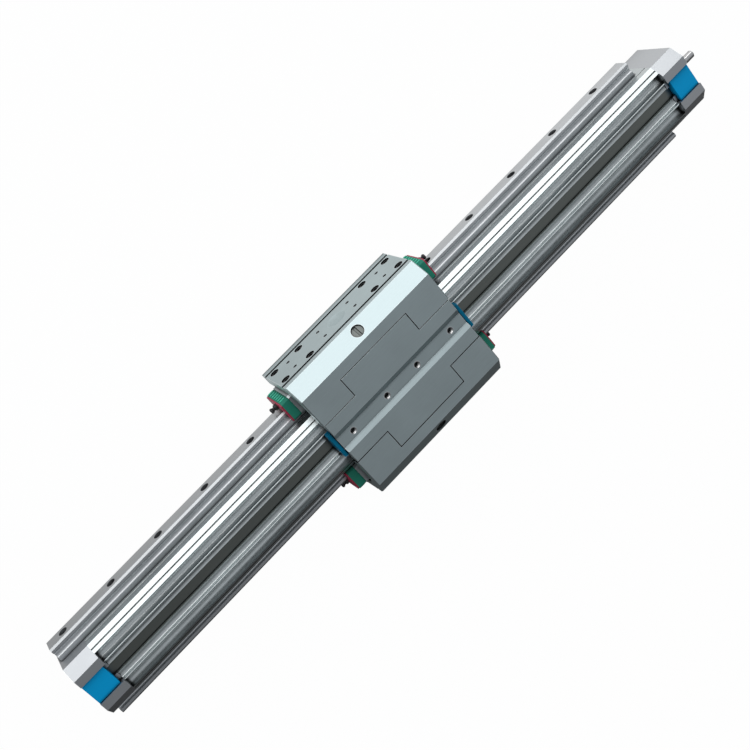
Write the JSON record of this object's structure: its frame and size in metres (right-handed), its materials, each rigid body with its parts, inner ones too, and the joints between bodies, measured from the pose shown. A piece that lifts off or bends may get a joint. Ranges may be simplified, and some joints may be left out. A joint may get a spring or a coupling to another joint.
{
  "type": "linear module",
  "caption": "Ball-screw linear module with a profile rail on each flank of an aluminium beam, a three-sided carriage, a steel cover strip and end blocks",
  "frame": {"origin": "centre of the beam's flat mounting face, half-way along the beam", "axes": "+X along the beam towards the drive journal, +Y towards the left rail, +Z out of the mounting face towards the cover strip"},
  "size_m": [0.853, 0.144, 0.084],
  "materials": {
    "beam_aluminium": "drawn, clear anodised",
    "cap_aluminium": "milled, anodised",
    "carriage_aluminium": "milled, satin anodised",
    "strip_steel": "rolled, polished strip",
    "rail_steel": "hardened and ground",
    "machined_steel": "turned",
    "zinc_screw": "yellow zinc plated",
    "black_screw": "black oxide",
    "blue_plastic": "moulded",
    "green_plastic": "moulded",
    "red_seal": "soft lip",
    "black_plastic": "moulded",
    "bumper_rubber": "soft"
  },
  "bodies": {
    "module": {"beam_extrusion": "beam_aluminium", "bearing_outer_drive_inner_row": "machined_steel", "bearing_outer_drive_outer_row": "machined_steel", "bearing_outer_free": "machined_steel", "bearing_retainer": "machined_steel", "bumper_drive": "bumper_rubber", "bumper_free": "bumper_rubber", "cover_strip": "strip_steel", "end_cap_drive": "cap_aluminium", "end_cap_free": "cap_aluminium", "end_cap_screws_drive": "zinc_screw", "end_cap_screws_free": "zinc_screw", "rail_left": "rail_steel", "rail_right": "rail_steel", "rail_screws_left": "black_screw", "rail_screws_right": "black_screw", "strip_clamp_drive": "blue_plastic", "strip_clamp_free": "blue_plastic"},
    "screw": {"ball_screw": "machined_steel", "bearing_inner_free": "machined_steel", "bearing_inner_drive_inner_row": "machined_steel", "bearing_inner_drive_outer_row": "machined_steel", "lock_nut": "machined_steel"},
    "carriage": {"ball_nut": "machined_steel", "block_caps_left_drive": "green_plastic", "block_caps_left_free": "green_plastic", "block_caps_right_drive": "green_plastic", "block_caps_right_free": "green_plastic", "block_left_drive": "rail_steel", "block_left_free": "rail_steel", "block_right_drive": "rail_steel", "block_right_free": "rail_steel", "block_screws_left": "black_screw", "block_screws_right": "black_screw", "block_seals_left_drive": "red_seal", "block_seals_left_free": "red_seal", "block_seals_right_drive": "red_seal", "block_seals_right_free": "red_seal", "centre_plate": "carriage_aluminium", "grease_nipple_left_drive": "black_plastic", "grease_nipple_left_free": "black_plastic", "grease_nipple_right_drive": "black_plastic", "grease_nipple_right_free": "black_plastic", "nut_bracket": "machined_steel", "saddle_screws": "black_screw", "side_bracket_left": "carriage_aluminium", "side_bracket_right": "carriage_aluminium", "strip_wiper_drive": "blue_plastic", "strip_wiper_free": "blue_plastic"}
  },
  "joints": [
    {"name": "carriage_slide", "type": "slide", "parent": "module", "child": "carriage", "axis": [1, 0, 0], "range_m": [-0.27, 0.27], "deforming": ["cover_strip"]},
    {"name": "screw_spin", "type": "hinge", "parent": "module", "child": "screw", "pos_m": [0, 0, 0.036], "axis": [1, 0, 0], "range_deg": [-9725, 9725]}
  ],
  "couplings": [
    {"joint": "screw_spin", "follows": "carriage_slide", "rad_per_m": -628.32}
  ]
}
